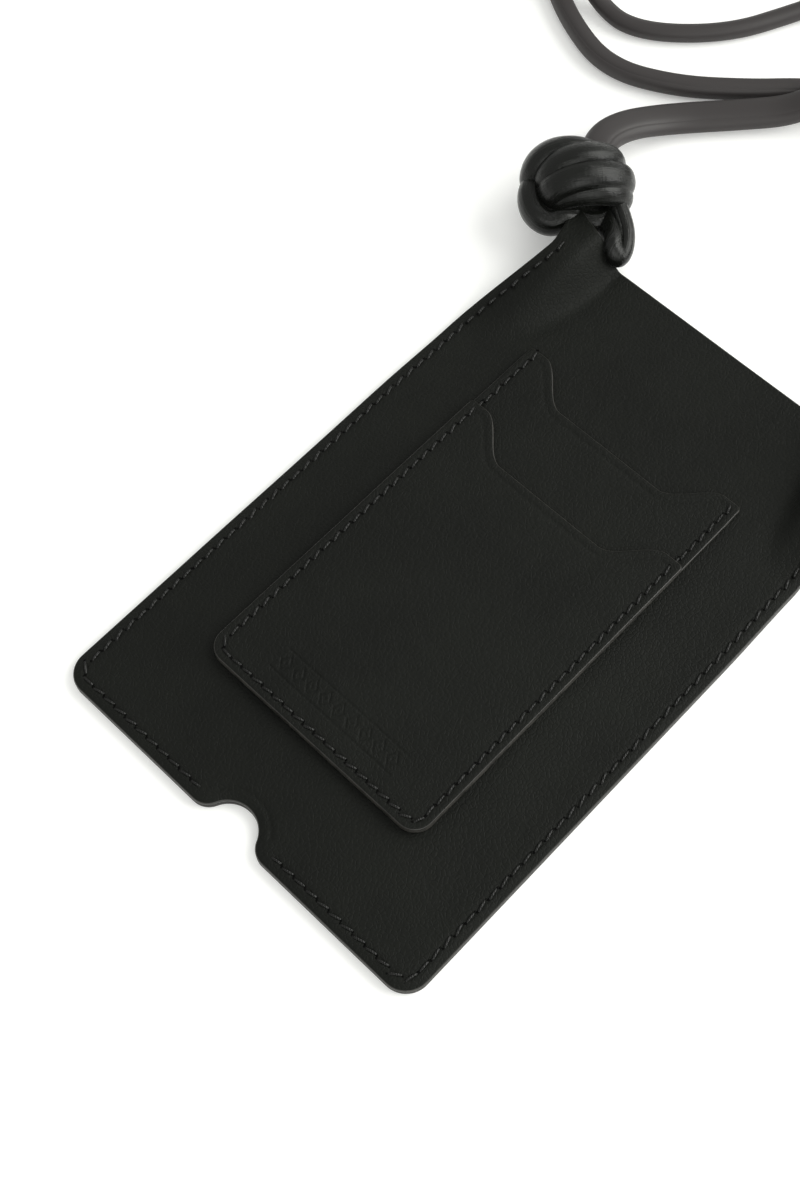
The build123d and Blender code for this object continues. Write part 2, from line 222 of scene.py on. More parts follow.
def dense(corners, step, closed=True):
    """A line with points no further apart than step: an open one leaves its end out."""
    points = []
    ends = corners[1:] + (corners[:1] if closed else [])
    for (x0, y0), (x1, y1) in zip(corners, ends):
        length = math.hypot(x1 - x0, y1 - y0)
        if length < 1e-6:
            continue
        count = max(1, math.ceil(length / step))
        points += [(mix(x0, x1, k / count), mix(y0, y1, k / count)) for k in range(count)]
    return points


def pouch_outline(inset=0.0, mouth_inset=0.0, step=0.8):
    """The panels' outline, counterclockwise, with the notch in its bottom edge."""
    w, low, high = HALF_WIDTH - inset, -HALF_LENGTH + inset, HALF_LENGTH - mouth_inset
    r, m = BOTTOM_CORNER_R - inset, MOUTH_CORNER_R
    notch_r, shoulder_r = NOTCH_R + inset, SHOULDER_R - inset
    notch_y = -HALF_LENGTH - NOTCH_DROP
    rise = low + shoulder_r - notch_y
    shoulder_x = math.sqrt((notch_r + shoulder_r) ** 2 - rise ** 2)
    tangent = math.degrees(math.atan2(rise, shoulder_x))
    corners = arc(-w + r, low + r, r, 180, 270, 0.5)
    corners += arc(-shoulder_x, low + shoulder_r, shoulder_r, 270, 360 - tangent, 0.5)
    corners += arc(0, notch_y, notch_r, 180 - tangent, tangent, 0.5)
    corners += arc(shoulder_x, low + shoulder_r, shoulder_r, 180 + tangent, 270, 0.5)
    corners += arc(w - r, low + r, r, 270, 360, 0.5)
    corners += arc(w - m, high - m, m, 0, 90, 0.5)
    corners += arc(-w + m, high - m, m, 90, 180, 0.5)
    return dense(corners, step)


def pocket_outline(top_y, step=0.7):
    """A pocket layer's outline, counterclockwise, with the dip in its opening edge."""
    w, low = POCKET_HALF_WIDTH, POCKET_BOTTOM_Y
    r, tip = POCKET_CORNER_R, POCKET_TIP_R
    corners = arc(-w + r, low + r, r, 180, 270, 0.5) + arc(w - r, low + r, r, 270, 360, 0.5)
    corners += arc(w - tip, top_y - tip, tip, 0, 90, 0.3)
    curve = [
        (mix(DIP_SHOULDER_X, DIP_HALF_WIDTH, k / 24), top_y - DIP_DEPTH * smooth(k / 24))
        for k in range(25)
    ]
    corners += curve + [(-x, y) for x, y in reversed(curve)]
    corners += arc(-w + tip, top_y - tip, tip, 90, 180, 0.3)
    return [(x + POCKET_X, y) for x, y in dense(corners, step)]


def offset_inward(outline, distance):
    """The outline's points moved inward, left out where they come too near another side."""
    count = len(outline)
    moved = []
    for k, (x, y) in enumerate(outline):
        x0, y0 = outline[k - 1]
        x1, y1 = outline[(k + 1) % count]
        length = math.hypot(x1 - x0, y1 - y0)
        moved.append((x - (y1 - y0) / length * distance, y + (x1 - x0) / length * distance))
    grid, cell = {}, 5
    for x, y in outline:
        grid.setdefault((int(x // cell), int(y // cell)), []).append((x, y))
    kept = []
    for x, y in moved:
        i, j = int(x // cell), int(y // cell)
        near = [p for a in (-1, 0, 1) for b in (-1, 0, 1) for p in grid.get((i + a, j + b), [])]
        if all(math.hypot(x - px, y - py) > 0.97 * distance for px, py in near):
            kept.append((x, y))
    return kept


def inside(x, y, outline):
    """Whether a point is inside a closed outline, by counting the sides that it is left of."""
    within = False
    for (x0, y0), (x1, y1) in zip(outline, outline[1:] + outline[:1]):
        if (y0 > y) != (y1 > y) and x < (x1 - x0) * (y - y0) / (y1 - y0) + x0:
            within = not within
    return within


# ---------------- mesh helpers


def in_scene(name, data):
    """A new object of this data, linked to the scene."""
    obj = bpy.data.objects.new(name, data)
    bpy.context.scene.collection.objects.link(obj)
    return obj


def new_object(name, verts, faces, materials, indices=None):
    """A smooth-shaded mesh object from millimetre points."""
    mesh = bpy.data.meshes.new(name)
    mesh.from_pydata([tuple(c * MM for c in v) for v in verts], [], faces)
    mesh.update()
    mesh.shade_smooth()
    for material in materials:
        mesh.materials.append(material)
    if indices:
        mesh.polygons.foreach_set("material_index", indices)
    return in_scene(name, mesh)


def curve_object(name, kind, points):
    """A curve object with one spline, NURBS or POLY, given by millimetre points."""
    curve = bpy.data.curves.new(name, "CURVE")
    curve.dimensions = "3D"
    spline = curve.splines.new(kind)
    spline.points.add(len(points) - 1)
    for point, place in zip(spline.points, points):
        point.co = (*(c * MM for c in place), 1)
    return in_scene(name, curve), spline


def settle(obj, slot, *nodes):
    """The piece rides on the body and stands for its nodes, whose parts are hidden; the slot is
    not used.
    """
    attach(obj, BODY)
    if nodes:
        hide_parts(*nodes)
    return obj


# The inset of a place that is on no ring of its sheet's edge
INTERIOR = 99.0


def leather_sheet(name, outline, top, thickness, materials, rounding=0.5, loops=(),
                  spacing=2.0, extra=()):
    """A leather or cloth layer: top(u, v, inset) gives a flat place's upper point and normal.

    The edge is rounded, and loops are more insets at which the surface has points. The inset
    is INTERIOR at places that are on none of them.
    """
    insets = [0.0, 0.2 * rounding, 0.5 * rounding, rounding, 2 * rounding, *loops]
    places = [(x, y, 0.0) for x, y in outline]
    for inset in insets[1:]:
        places += [(x, y, inset) for x, y in offset_inward(outline, inset)]
    deep = insets[-1] + spacing * 0.6
    core = offset_inward(outline[::2], deep)
    xs, ys = [p[0] for p in core], [p[1] for p in core]
    rows = math.ceil((max(ys) - min(ys)) / (spacing * 0.866))
    for j in range(rows + 1):
        y = mix(min(ys), max(ys), j / rows)
        x = min(xs) + (spacing / 2 if j % 2 else 0)
        while x <= max(xs):
            if inside(x, y, core):
                places.append((x, y, INTERIOR))
            x += spacing
    places += extra
    ring = list(range(len(outline)))
    flat, _, triangles, origin, _, _ = geometry.delaunay_2d_cdt(
        [Vector(p[:2]) for p in places], [], [ring], 1, 1e-4
    )
    kept = [places[o[0]] for o in origin]
    back = {o: k for k, group in enumerate(origin) for o in group}
    count = len(kept)
    upper, lower = [], []
    for u, v, inset in kept:
        place, normal = top(u, v, inset)
        fall = 0.0
        if inset < rounding:
            fall = rounding - math.sqrt(max(0.0, rounding ** 2 - (rounding - inset) ** 2))
        upper.append(place - normal * fall)
        lower.append(place - normal * (thickness - fall))
    faces = [tuple(t) for t in triangles]
    a, b, c = (flat[i] for i in triangles[0])
    if (b - a).cross(c - a) < 0:
        faces = [f[::-1] for f in faces]
    under = [tuple(i + count for i in reversed(f)) for f in faces]
    rim = [back[i] for i in ring]
    sides = [(j, i, i + count, j + count) for i, j in zip(rim, rim[1:] + rim[:1])]
    edge = {back[k] for k, p in enumerate(places) if p[2] < 0.9 * rounding}
    surface = [int(all(i % count in edge for i in f)) for f in faces + under]
    return new_object(
        name, upper + lower, faces + under + sides, materials, surface + [1] * len(sides)
    )


def resampled(points, step):
    """Evenly spaced points along a line of close points, with both its ends."""
    lengths = [0.0]
    for a, b in zip(points, points[1:]):
        lengths.append(lengths[-1] + (b - a).length)
    count = max(2, round(lengths[-1] / step))
    out, k = [], 0
    for n in range(count + 1):
        s = lengths[-1] * n / count
        while k < len(points) - 2 and lengths[k + 1] < s:
            k += 1
        span = lengths[k + 1] - lengths[k]
        out.append(points[k].lerp(points[k + 1], (s - lengths[k]) / span if span else 0))
    return out


def nurbs_points(name, points, step, closed=False):
    """Points along the NURBS line that these control points give, in millimetres."""
    obj, spline = curve_object(name, "NURBS", points)
    spline.order_u = 3
    spline.use_endpoint_u = not closed
    spline.use_cyclic_u = closed
    spline.resolution_u = 12
    mesh = bpy.data.meshes.new_from_object(obj)
    line = [v.co / MM for v in mesh.vertices]
    bpy.data.curves.remove(obj.data)
    bpy.data.meshes.remove(mesh)
    if closed:
        line.append(line[0].copy())
    return resampled(line, step)


def cord_section(count=30, groove_at=125.0, power=2.3, groove=0.045):
    """The rolled leather's section: a soft oval with the fold's edge as a small groove."""
    section = []
    angles = [360 * k / count for k in range(count)] + [groove_at - 4, groove_at, groove_at + 4]
    for degrees in sorted(set(angles)):
        a = math.radians(degrees)
        x = math.copysign(abs(math.cos(a)) ** (2 / power), math.cos(a))
        y = math.copysign(abs(math.sin(a)) ** (2 / power), math.sin(a))
        off = degrees - groove_at
        depth = groove * math.exp(-((off / 5.0) ** 2))
        lap = 0.4 * groove * math.exp(-off / 40) if off > 0 else 0.0
        section.append((x * (1 - depth + lap), y * (1 - depth + lap)))
    return section


def tube(points, outs, sizes, section, verts, faces, uvs, closed=False):
    """Adds a swept tube to a mesh's lists: outs are the section's upward directions."""
    start, n, ring = len(verts), len(points), len(section)
    travelled = 0.0
    for k, (place, out, (width, height)) in enumerate(zip(points, outs, sizes)):
        before = points[k - 1] if k else (points[-2] if closed else points[0])
        after = points[k + 1] if k < n - 1 else (points[1] if closed else points[-1])
        along = (after - before).normalized()
        out = (out - along * out.dot(along)).normalized()
        side = out.cross(along)
        if k:
            travelled += (place - points[k - 1]).length
        for j, (x, y) in enumerate(section):
            verts.append(place + side * (x * width / 2) + out * (y * height / 2))
            uvs.append((travelled * MM, j / ring * 0.024))
    last = n - 1
    for k in range(last):
        a, b = start + k * ring, start + (k + 1) * ring
        if closed and k == last - 1:
            b = start
        for j in range(ring):
            i = (j + 1) % ring
            faces.append((a + j, a + i, b + i, b + j))
    if closed:
        del verts[start + last * ring:], uvs[start + last * ring:]
        return
    for base, flip in ((start, True), (start + last * ring, False)):
        centre = len(verts)
        verts.append(points[0] if flip else points[-1])
        uvs.append(uvs[base])
        for j in range(ring):
            i = (j + 1) % ring
            faces.append(
                (centre, base + i, base + j) if flip else (centre, base + j, base + i)
            )


def tube_object(name, verts, faces, uvs, material):
    """An object from tube lists, with the length and girth as its UV map."""
    obj = new_object(name, verts, faces, [material])
    layer = obj.data.uv_layers.new(name="cord_map")
    for loop in obj.data.loops:
        layer.data[loop.index].uv = uvs[loop.vertex_index]
    return obj


# ---------------- materials


class Finish:
    """A new material, and the nodes that feed its shader."""

    def __init__(self, name, values):
        self.material = bpy.data.materials.new(name)
        self.material.use_nodes = True
        self.nodes = self.material.node_tree.nodes
        self.link = self.material.node_tree.links.new
        self.shader = self.nodes["Principled BSDF"].inputs
        for key, value in values.items():
            self.shader[key].default_value = value

    def place(self, scale=(1, 1, 1), output="Object"):
        """Object or UV coordinates through a mapping."""
        source = self.nodes.new("ShaderNodeTexCoord")
        mapping = self.nodes.new("ShaderNodeMapping")
        mapping.inputs["Scale"].default_value = scale
        self.link(source.outputs[output], mapping.inputs["Vector"])
        return mapping.outputs["Vector"]

    def texture(self, kind, vector, output="Fac", **values):
        """A texture node's output at a place: settings first, then inputs by name."""
        node = self.nodes.new("ShaderNodeTex" + kind)
        for key, value in values.items():
            if key[0].isupper():
                node.inputs[key].default_value = value
            else:
                setattr(node, key, value)
        self.link(vector, node.inputs["Vector"])
        return node.outputs[output]

    def noise(self, vector, scale, detail=3.0, rough=0.55, distortion=0.0):
        return self.texture(
            "Noise", vector, Scale=scale, Detail=detail, Roughness=rough, Distortion=distortion
        )

    def ramp(self, value, low, high, stops=(0.35, 0.65)):
        """A colour ramp between two colours, or two greys."""
        node = self.nodes.new("ShaderNodeValToRGB")
        for element, stop, colour in zip(node.color_ramp.elements, stops, (low, high)):
            element.position = stop
            element.color = (*colour, 1) if hasattr(colour, "__len__") else (colour,) * 3 + (1,)
        self.link(value, node.inputs["Fac"])
        return node.outputs["Color"]

    def tint(self, value, colour, tones, stops=(0.35, 0.65)):
        """The base colour: between a dark and a light tone of one colour."""
        low, high = (tuple(c * tone for c in colour) for tone in tones)
        self.link(self.ramp(value, low, high, stops), self.shader["Base Color"])

    def roughness(self, value, low, high):
        self.link(self.ramp(value, low, high), self.shader["Roughness"])

    def bump(self, *heights):
        """Bumps from (height socket, depth in metres) pairs, one over the other."""
        normal = None
        for height, depth in heights:
            node = self.nodes.new("ShaderNodeBump")
            node.inputs["Distance"].default_value = depth
            node.inputs["Strength"].default_value = 1.0
            self.link(height, node.inputs["Height"])
            if normal:
                self.link(normal, node.inputs["Normal"])
            normal = node.outputs["Normal"]
        self.link(normal, self.shader["Normal"])


def pouch_leather(name, colour, grain, depth):
    """Matte fine-grained leather: pores, soft mottling, handling marks."""
    finish = Finish(name, {"Specular IOR Level": 0.13})
    place = finish.place()
    pores = finish.texture("Voronoi", place, "Distance", feature="DISTANCE_TO_EDGE",
                           Scale=1 / grain)
    edge = finish.ramp(pores, 0.0, 1.0, (0.0, 0.16))
    fine = finish.noise(place, 2.2 / grain, 4.0, 0.65)
    mottle = finish.noise(place, 38.0, 4.0, 0.6)
    soft = finish.noise(place, 95.0, 2.0, 0.5)
    rub = finish.noise(finish.place((1.0, 7.0, 1.0)), 160.0, 5.0, 0.7, 0.6)
    finish.tint(mottle, colour, (0.8, 1.3), (0.3, 0.72))
    sheen = finish.nodes.new("ShaderNodeMix")
    sheen.inputs["Factor"].default_value = 0.4
    finish.link(finish.ramp(rub, 0.62, 0.48, (0.45, 0.7)), sheen.inputs["A"])
    finish.link(finish.ramp(mottle, 0.5, 0.62), sheen.inputs["B"])
    finish.link(sheen.outputs["Result"], finish.shader["Roughness"])
    finish.bump((soft, depth * 3), (fine, depth), (edge, depth * 0.7))
    return finish.material


def burnished_edge(name, colour, gloss):
    """The cut edges: dyed, waxed and rubbed smooth, a little lighter where worn."""
    finish = Finish(name, {"Specular IOR Level": gloss})
    place = finish.place()
    wear = finish.noise(place, 420.0, 4.0, 0.6)
    finish.tint(wear, colour, (0.9, 2.0))
    finish.roughness(wear, 0.3, 0.46)
    finish.bump((finish.noise(place, 1800.0, 3.0, 0.6), 0.00005))
    return finish.material


def cord_leather(name, colour, roughness, gloss):
    """Soft rolled leather: lengthwise stretch lines, fine cross wrinkles, a low sheen."""
    finish = Finish(
        name, {"Specular IOR Level": gloss, "Sheen Weight": 0.04, "Sheen Roughness": 0.4}
    )
    place = finish.place()
    stretch = finish.noise(finish.place((120.0, 900.0, 1.0), "UV"), 1.0, 3.0, 0.6, 0.3)
    wrinkle = finish.noise(finish.place((900.0, 160.0, 1.0), "UV"), 1.0, 4.0, 0.65, 0.8)
    finish.tint(finish.noise(place, 130.0, 3.0, 0.6), colour, (0.75, 1.3))
    finish.roughness(stretch, roughness - 0.07, roughness + 0.1)
    grain = finish.noise(place, 2600.0, 3.0, 0.6)
    finish.bump((stretch, 0.00018), (wrinkle, 0.00012), (grain, 0.00005))
    return finish.material


def lining_cloth(name, colour):
    """Thin twill: fine diagonal ribs with a soft nap."""
    finish = Finish(name, {"Roughness": 0.85})
    place = finish.place()
    ribs = finish.texture("Wave", place, bands_direction="DIAGONAL", Scale=480.0, Distortion=0.6)
    finish.tint(ribs, colour, (0.6, 1.5))
    finish.bump((ribs, 0.00012), (finish.noise(place, 2200.0, 2.0, 0.5), 0.00006))
    return finish.material


def waxed_thread(name, colour):
    """Waxed thread: glossy, with the twist of its plies."""
    finish = Finish(name, {"Specular IOR Level": 0.28})
    plies = finish.texture("Wave", finish.place(), bands_direction="DIAGONAL", Scale=900.0)
    finish.tint(plies, colour, (0.6, 1.5))
    finish.roughness(plies, 0.42, 0.26)
    finish.bump((plies, 0.00006))
    return finish.material


def table_finish(name, colour):
    """A plain pale table with the faintest tone variation."""
    finish = Finish(name, {
        "Roughness": 0.7, "Emission Color": (*colour, 1), "Emission Strength": 0.22,
    })
    finish.tint(finish.noise(finish.place(), 6.0, 2.0, 0.5), colour, (0.985, 1.0))
    return finish.material


def shared(make, name, *values):
    """A finish made once and shared by the pieces that have it."""
    return bpy.data.materials.get(name) or make(name, *values)


def leather_pair(settings):
    """The leather's face and its cut edge."""
    return [
        shared(pouch_leather, "pouch_leather", settings.colour, settings.grain,
               settings.grain_depth),
        shared(burnished_edge, "burnished_edge", settings.edge_colour, 0.5),
    ]


# Painted shade: the knots take the cord's leather made several times darker, standing for the
# shade inside the tight knots; the coil's band shares this darker leather
def knot_leather(settings):
    return shared(cord_leather, "knot_leather", settings.knot_shade_colour, 0.25, 0.28)


# ---------------- pouch surfaces


def corner_lift(u, v):
    """How far the cord draws a mouth corner up at a flat place."""
    reach = LIFT_REACH_LEFT if u < 0 else LIFT_REACH_RIGHT
    across = max(0.0, (LIFTED_X - abs(u)) / reach)
    along = max(0.0, (LIFTED_Y - v) / LIFT_REACH_DOWN)
    return CORNER_LIFT * smooth(1 - math.hypot(across, along))


def gathered(u, v):
    """How far a place near the mouth is drawn in towards the middle."""
    edge = 0.65 * corner_lift(math.copysign(HALF_WIDTH, u), v)
    edge += 0.35 * smooth((v - GATHER_FROM_Y) / GATHER_REACH_Y)
    return edge * smooth((abs(u) - GATHER_FROM_X) / (HALF_WIDTH - GATHER_FROM_X))


def swell(u, v):
    """How far the front rises over the phone compartment, from just inside the seams."""
    side, low = HALF_WIDTH - SEAM_LINE, -HALF_LENGTH + SEAM_LINE
    across = smooth((side - abs(u)) / (side - FLAT_HALF_WIDTH))
    along = smooth((v - low) / (FLAT_BOTTOM_Y - low))
    return PHONE_GAP * across * along


def seam_dent(u, v, inset, at, depth):
    """The leather pulled down by the stitches."""
    at_notch = v < -80 and abs(u) < DENT_NOTCH_X
    if v > DENT_START_Y or inset == INTERIOR or at_notch:
        return 0.0
    return depth * math.exp(-(((inset - at) / DENT_HALF_WIDTH) ** 2))


def ripple(u, v, seed, size, amount):
    """Soft unevenness of a leather surface."""
    return amount * noise.noise(Vector((u / size, v / size, seed)))


def layer_point(u, v, height):
    """The shaped place of a flat place at a height over the back's outer face.

    The corner's tongue runs on towards the knot that holds it.
    """
    place = Vector((u - math.copysign(gathered(u, v), u), v, height + corner_lift(u, v)))
    into_knot = smooth(1 - math.hypot(HALF_WIDTH - abs(u), HALF_LENGTH - v) / TONGUE)
    x, y, z = Vector(KNOT_AT) + TONGUE_INTO_KNOT
    return place.lerp(Vector((math.copysign(x, u), y, z)), 0.5 * into_knot)


def shaped(height):
    """top(u, v, inset) for a layer, from the height of its upper face."""

    def top(u, v, inset):
        place = layer_point(u, v, height(u, v, inset))
        du = layer_point(u + 0.2, v, height(u + 0.2, v, inset)) - place
        dv = layer_point(u, v + 0.2, height(u, v + 0.2, inset)) - place
        return place, du.cross(dv).normalized()

    return top


def front_height(settings):
    """The front panel's upper face, pinched at its edge and dented at its seams."""
    thick = settings.thickness / MM

    def height(u, v, inset):
        pinch = EDGE_PINCH * smooth(1 - inset / EDGE_PINCH_REACH) if v < DENT_START_Y else 0.0
        dent = seam_dent(u, v, inset, settings.seam_inset / MM, settings.seam_dent / MM)
        return FRONT_Z + thick + swell(u, v) - pinch - dent + ripple(u, v, 1.5, 26, 0.12)

    return height


def pocket_height(base, thick, ornament=False):
    """A pocket layer's upper face, with its sewn margin and the stamped border."""

    def height(u, v, inset):
        z = base + thick
        if inset != INTERIOR:
            off = (inset - POCKET_SEAM_INSET) / POCKET_DENT_HALF_WIDTH
            z -= POCKET_DENT * math.exp(-(off ** 2))
        bulge = smooth((POCKET_HALF_WIDTH - abs(u - POCKET_X) - 2) / POCKET_BULGE_REACH)
        z += POCKET_BULGE * bulge * smooth((v - POCKET_BOTTOM_Y - 2) / POCKET_BULGE_REACH)
        if ornament:
            z -= stamped_border(u - POCKET_X, v)
        return z + ripple(u, v, 4.2 + base, 19, 0.10)

    return height


def stamped_border(x, y):
    """The depth of a stamped row of lozenges between two rules."""
    if abs(x) > STAMP_HALF + 0.5 or abs(y - STAMP_Y) > STAMP_RULE_Y + 1:
        return 0.0
    rule = min(abs(y - STAMP_Y - STAMP_RULE_Y), abs(y - STAMP_Y + STAMP_RULE_Y))
    depth = math.exp(-((rule / 0.22) ** 2))
    cell = (x + STAMP_HALF) % STAMP_PITCH - STAMP_PITCH / 2
    lozenge = abs(cell) / 1.5 + abs(y - STAMP_Y) / 2.0
    depth = max(depth, math.exp(-(((lozenge - 1) / 0.16) ** 2)))
    depth = max(depth, math.exp(-((lozenge / 0.22) ** 2)))
    return STAMP_DEPTH * depth * smooth((STAMP_HALF + 0.4 - abs(x)) / 0.4)


def lies_flat(base):
    """A nearly flat upper face at a height."""
    return lambda u, v, inset: base + ripple(u, v, base, 30, 0.04)


# ---------------- settings


def measure(name, description, default, low, high):
    return FloatProperty(
        name=name, description=description, default=default, min=low, max=high,
        unit="LENGTH", precision=5,
    )


def dye(name, description, default):
    return FloatVectorProperty(
        name=name, description=description, default=default, min=0.0, max=1.0, subtype="COLOR"
    )


class PouchLeatherSettings(bpy.types.PropertyGroup):
    """The pouch's leather and its sewn margin."""

    thickness: measure("Leather Thickness", "Thickness of each leather layer",
                       0.0012, 0.0006, 0.003)
    edge_rounding: measure("Edge Rounding", "Radius to which the cut edges are rubbed",
                           0.0005, 0.0001, 0.0006)
    seam_inset: measure("Seam Inset", "Distance from the edge to the side and bottom seams",
                        0.0028, 0.0015, 0.006)
    seam_dent: measure("Seam Dent", "How far the stitches pull the leather down",
                       0.00024, 0.0, 0.0006)
    grain: measure("Grain Size", "Size of the leather's pebbles", 0.0011, 0.0003, 0.004)
    grain_depth: measure("Grain Depth", "Depth of the leather's grain", 0.0001, 0.0, 0.0005)
    colour: dye("Leather Colour", "Dye of the leather's face", (0.0052, 0.0058, 0.0046))
    edge_colour: dye("Edge Colour", "Colour of the burnished cut edges", (0.014, 0.013, 0.011))
    lining_colour: dye("Lining Colour", "Colour of the cloth inside", (0.012, 0.012, 0.011))


class PouchStitchSettings(bpy.types.PropertyGroup):
    """The seams' thread and stitches."""

    seam_pitch: measure("Seam Pitch", "Length of one stitch of the side and bottom seams",
                        0.0036, 0.001, 0.01)
    pocket_pitch: measure("Pocket Pitch", "Length of one stitch of the pockets' seam",
                          0.0033, 0.001, 0.01)
    thread: measure("Thread", "Thread thickness", 0.0007, 0.0002, 0.002)
    slant: FloatProperty(
        name="Slant", description="Angle between a stitch and its seam",
        default=math.radians(14), min=0.0, max=0.8, subtype="ANGLE",
    )
    seed: IntProperty(name="Seed", description="Seed of the stitches' unevenness", default=7)
    colour: dye("Thread Colour", "Colour of the waxed thread", (0.0045, 0.0045, 0.004))


class PouchCordSettings(bpy.types.PropertyGroup):
    """The neck cord."""

    colour: dye("Cord Colour", "Dye of the rolled leather cord", (0.015, 0.0195, 0.0115))
    # Painted shade: the knots' colour is far darker than the rest of the same cord, for the shade
    # inside the knots
    knot_shade_colour: dye("Knot Colour", "Dye of the cord where it is knotted and handled",
                     (0.003, 0.0034, 0.0026))
    tie_width: measure("Tie Width", "Width of the leather band round the coil",
                       0.009, 0.004, 0.02)


class PouchStageSettings(bpy.types.PropertyGroup):
    """The table and the light."""

    table_size: measure("Table Size", "Side of the table top", 12.0, 1.0, 50.0)
    table_colour: dye("Table Colour", "Colour of the table top", (0.9, 0.9, 0.892))
    window_power: FloatProperty(
        name="Window Power", description="Power of the large soft side light",
        default=37.0, min=0.0, max=500.0, unit="POWER",
    )
    room_light: FloatProperty(
        name="Room Light", description="Strength of the even light from all round",
        default=0.69, min=0.0, max=3.0,
    )


# ---------------- operators


# The view's own directions, in which the knots are drawn too, and the camera's place
VIEW_ACROSS = (0.72027, 0.69305, -0.02990)
VIEW_UP = (-0.62035, 0.66281, 0.41935)
VIEW_OUT = (0.31045, -0.28349, 0.90733)
CAMERA_AT = (114.5, -133.1, 369.3)
CAMERA_LENS = 52.05

# The lights: name, place and side in metres, share of the window's power, colour
LIGHTS = (
    ("window", (0.95, 1.35, 1.15), 1.7, 1.0, (0.99, 1.0, 0.96)),
    ("side_fill", (1.5, -0.9, 1.3), 1.5, 0.35, (0.99, 1.0, 0.97)),
    ("low_window", (1.35, 0.8, 0.42), 0.4, 0.11, (1.0, 1.0, 1.0)),
)
LIGHTS_AIM = (0.0, 0.05, 0.0)
ROOM_COLOUR = (0.992, 1.0, 0.972, 1.0)


class POUCH_OT_camera(bpy.types.Operator):
    """Places the camera over the table, looking down across the pouch to its mouth."""

    bl_idname = "pouch.camera"
    bl_label = "Camera"

    def execute(self, context):
        data = bpy.data.cameras.new("camera")
        data.sensor_fit = "VERTICAL"
        data.sensor_height = 36.0
        data.lens = CAMERA_LENS
        camera = in_scene("camera", data)
        right, up = Vector(VIEW_ACROSS), Vector(VIEW_UP)
        rotation = Matrix((right, up, right.cross(up))).transposed().to_4x4()
        camera.matrix_world = Matrix.Translation(Vector(CAMERA_AT) * MM) @ rotation
        context.scene.camera = camera
        return {"FINISHED"}


class POUCH_OT_stage(bpy.types.Operator):
    """Makes the pale table top, the window light and the room's even light."""

    bl_idname = "pouch.stage"
    bl_label = "Table and Light"

    def execute(self, context):
        settings = context.scene.pouch_stage
        half = settings.table_size / 2 / MM
        corners = [(-half, -half, 0), (half, -half, 0), (half, half, 0), (-half, half, 0)]
        table = new_object("table_top", corners, [(0, 1, 2, 3)],
                           [table_finish("pale_table", settings.table_colour)])
        for name, place, size, share, colour in LIGHTS:
            data = bpy.data.lights.new(name, "AREA")
            data.shape = "SQUARE"
            data.size = size
            data.energy = settings.window_power * share
            data.color = colour
            light = in_scene(name, data)
            towards = (Vector(LIGHTS_AIM) - Vector(place)).to_track_quat("-Z", "Y")
            light.matrix_world = Matrix.Translation(place) @ towards.to_matrix().to_4x4()
        world = bpy.data.worlds.new("room")
        world.use_nodes = True
        background = world.node_tree.nodes["Background"]
        background.inputs["Color"].default_value = ROOM_COLOUR
        background.inputs["Strength"].default_value = settings.room_light
        context.scene.world = world
        context.scene.view_settings.view_transform = "Standard"
        return {"FINISHED"}


def cord_route():
    """The cord's route: along the table, round the coil and back to the right knot."""
    route = list(ROUTE)
    grow = 1 / math.cos(math.radians(COIL_STEP / 2)) / 1.0005
    steps = int(COIL_TURN // COIL_STEP)
    for k in range(steps + 1):
        turned = COIL_TURN * k / steps
        inner, top = (
            smooth((turned - start) / over) for start, over in (TO_INNER_TURN, TO_TOP_TURN)
        )
        r = mix(mix(OUTER_TURN_R, INNER_TURN_R, inner), TOP_TURN_R, top)
        z = mix(REST_Z + 0.2, COIL_TOP_Z, smooth((turned - 670) / 70))
        z = mix(z, COIL_EXIT_Z, smooth((turned - 800) / 80))
        a = math.radians(COIL_ENTRY_ANGLE - turned)
        reach = r * grow
        route.append((
            COIL_CENTRE[0] + reach * math.cos(a), COIL_CENTRE[1] + reach * math.sin(a), z
        ))
    return route + TO_RIGHT_KNOT


def cord_size(travelled):
    """The cord's width and height at a distance along it."""
    for (s0, w0, h0), (s1, w1, h1) in zip(CORD_SECTIONS, CORD_SECTIONS[1:]):
        if travelled <= s1:
            t = smooth((travelled - s0) / (s1 - s0))
            width, height = mix(w0, w1, t), mix(h0, h1, t)
            break
    uneven = noise.noise(Vector((travelled / 17, 3.7, 0.0)))
    return width * (1 + 0.035 * uneven), height * (1 - 0.03 * uneven)


class POUCH_OT_cord(bpy.types.Operator):
    """Sweeps the rolled leather cord along its whole route."""

    bl_idname = "pouch.cord"
    bl_label = "Neck Cord"

    def execute(self, context):
        settings = context.scene.pouch_cord
        points = nurbs_points("cord_route", cord_route(), 1.1)
        section = cord_section()
        up = Vector((0, 0, 1))
        outs, sizes, travelled = [], [], 0.0
        for k, place in enumerate(points):
            if k:
                travelled += (place - points[k - 1]).length
            sizes.append(cord_size(travelled))
            before, after = points[max(0, k - 1)], points[min(len(points) - 1, k + 1)]
            along = (after - before).normalized()
            roll = math.radians(16 * noise.noise(Vector((travelled / 60, 9.1, 0))))
            outs.append(Matrix.Rotation(roll, 3, along) @ up)
        verts, faces, uvs = [], [], []
        tube(points, outs, sizes, section, verts, faces, uvs)
        for v in verts:
            v.z = max(v.z, 0.03)
        finish = shared(cord_leather, "cord_leather", settings.colour, 0.44, 0.22)
        cord = tube_object("neck_cord", verts, faces, uvs, finish)
        settle(cord, "cord_leather", "strap", "strap_coil")
        cord["path"] = [c * MM for p in points for c in p]
        return {"FINISHED"}


